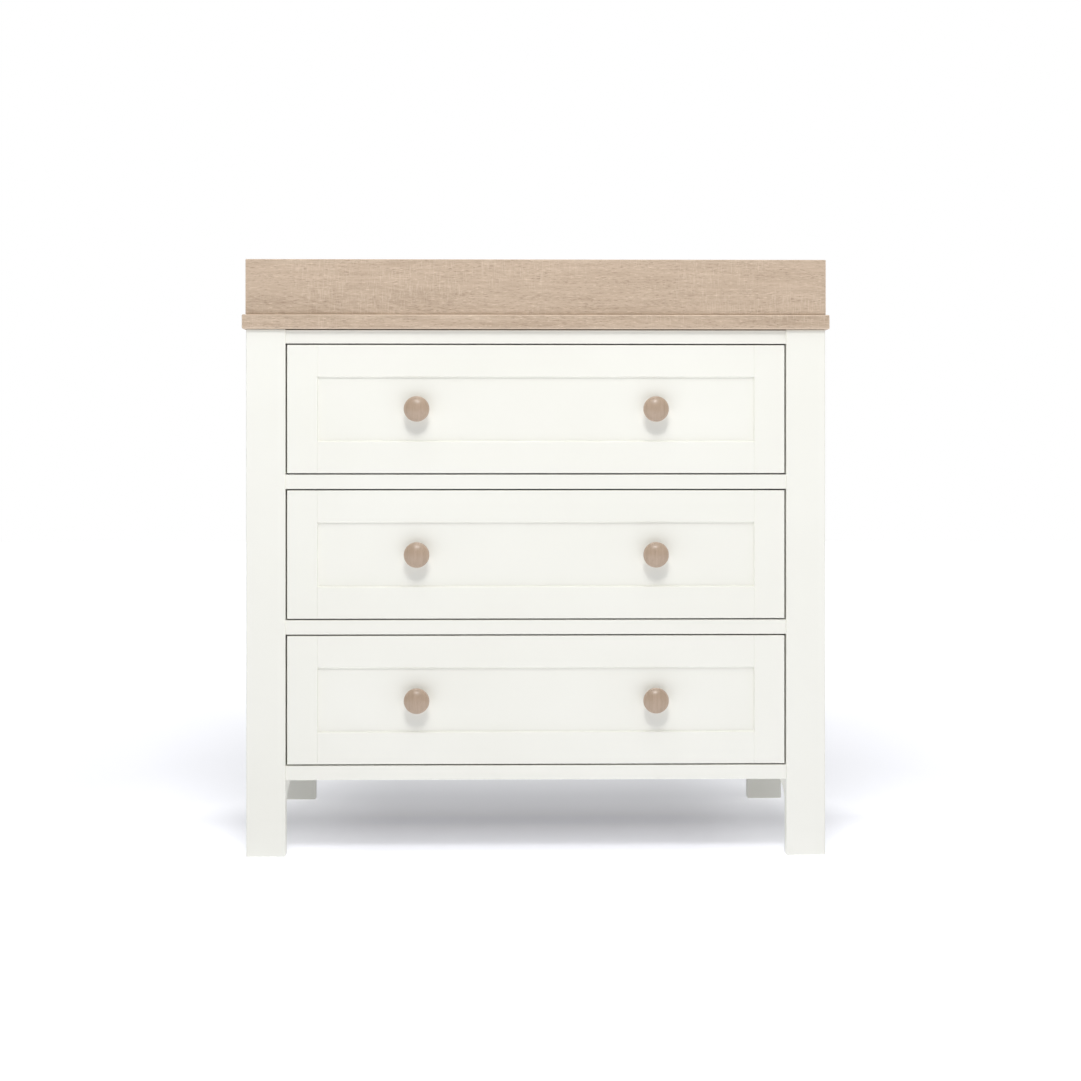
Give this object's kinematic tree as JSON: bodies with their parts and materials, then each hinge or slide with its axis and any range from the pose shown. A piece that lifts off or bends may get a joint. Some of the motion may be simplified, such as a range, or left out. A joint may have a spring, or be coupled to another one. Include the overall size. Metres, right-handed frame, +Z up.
{
  "type": "changing table",
  "caption": "Nursery changing table: white chest with inset panelled drawers and round knobs on flat legs, wood-effect worktop and a lift-off open changing tray.",
  "frame": {"origin": "on the floor, under the middle of the bounding box", "axes": "+Z up, +X to the right as seen from the front, -Y towards the user (the way the drawers open)"},
  "size_m": [0.9, 0.5166, 0.915],
  "materials": {
    "white_paint": "satin ivory-white paint on fibreboard",
    "wood_effect": "matt pale oak-effect foil",
    "knob_wood": "satin stained turned wood",
    "drawer_box": "matt off-white foil",
    "backing_board": "matt off-white hardboard",
    "slide_steel": "zinc-plated",
    "plate_steel": "zinc-plated"
  },
  "bodies": {
    "carcass": {"leg_front_left": "white_paint", "leg_front_right": "white_paint", "leg_rear_left": "white_paint", "leg_rear_right": "white_paint", "side_panel_left": "white_paint", "side_panel_right": "white_paint", "side_apron_left": "white_paint", "side_apron_right": "white_paint", "runner_batten_middle_left": "white_paint", "runner_batten_middle_right": "white_paint", "runner_batten_top_left": "white_paint", "runner_batten_top_right": "white_paint", "front_rail_bottom": "white_paint", "front_rail_lower": "white_paint", "front_rail_upper": "white_paint", "front_rail_top": "white_paint", "rear_rail_bottom": "white_paint", "rear_rail_top": "white_paint", "back_panel": "backing_board", "base_panel": "backing_board", "worktop": "wood_effect", "slide_bottom_left_outer": "slide_steel", "slide_bottom_right_outer": "slide_steel", "slide_middle_left_outer": "slide_steel", "slide_middle_right_outer": "slide_steel", "slide_top_left_outer": "slide_steel", "slide_top_right_outer": "slide_steel"},
    "changing_tray": {"tray_front": "wood_effect", "tray_back": "wood_effect", "tray_side_left": "wood_effect", "tray_side_right": "wood_effect", "tray_plate_left": "plate_steel", "tray_plate_right": "plate_steel"},
    "drawer_bottom": {"drawer_bottom_front": "white_paint", "drawer_bottom_knob_left": "knob_wood", "drawer_bottom_knob_right": "knob_wood", "drawer_bottom_side_left": "drawer_box", "drawer_bottom_side_right": "drawer_box", "drawer_bottom_back": "drawer_box", "drawer_bottom_bottom": "drawer_box", "slide_bottom_left_inner": "slide_steel", "slide_bottom_right_inner": "slide_steel"},
    "drawer_middle": {"drawer_middle_front": "white_paint", "drawer_middle_knob_left": "knob_wood", "drawer_middle_knob_right": "knob_wood", "drawer_middle_side_left": "drawer_box", "drawer_middle_side_right": "drawer_box", "drawer_middle_back": "drawer_box", "drawer_middle_bottom": "drawer_box", "slide_middle_left_inner": "slide_steel", "slide_middle_right_inner": "slide_steel"},
    "drawer_top": {"drawer_top_front": "white_paint", "drawer_top_knob_left": "knob_wood", "drawer_top_knob_right": "knob_wood", "drawer_top_side_left": "drawer_box", "drawer_top_side_right": "drawer_box", "drawer_top_back": "drawer_box", "drawer_top_bottom": "drawer_box", "slide_top_left_inner": "slide_steel", "slide_top_right_inner": "slide_steel"}
  },
  "joints": [
    {"name": "changing_tray_lift", "type": "slide", "parent": "carcass", "child": "changing_tray", "axis": [0, 0, 1], "range_m": [0, 0.1]},
    {"name": "drawer_top_slide", "type": "slide", "parent": "carcass", "child": "drawer_top", "axis": [0, -1, 0], "range_m": [0, 0.3]},
    {"name": "drawer_middle_slide", "type": "slide", "parent": "carcass", "child": "drawer_middle", "axis": [0, -1, 0], "range_m": [0, 0.3]},
    {"name": "drawer_bottom_slide", "type": "slide", "parent": "carcass", "child": "drawer_bottom", "axis": [0, -1, 0], "range_m": [0, 0.3]}
  ]
}
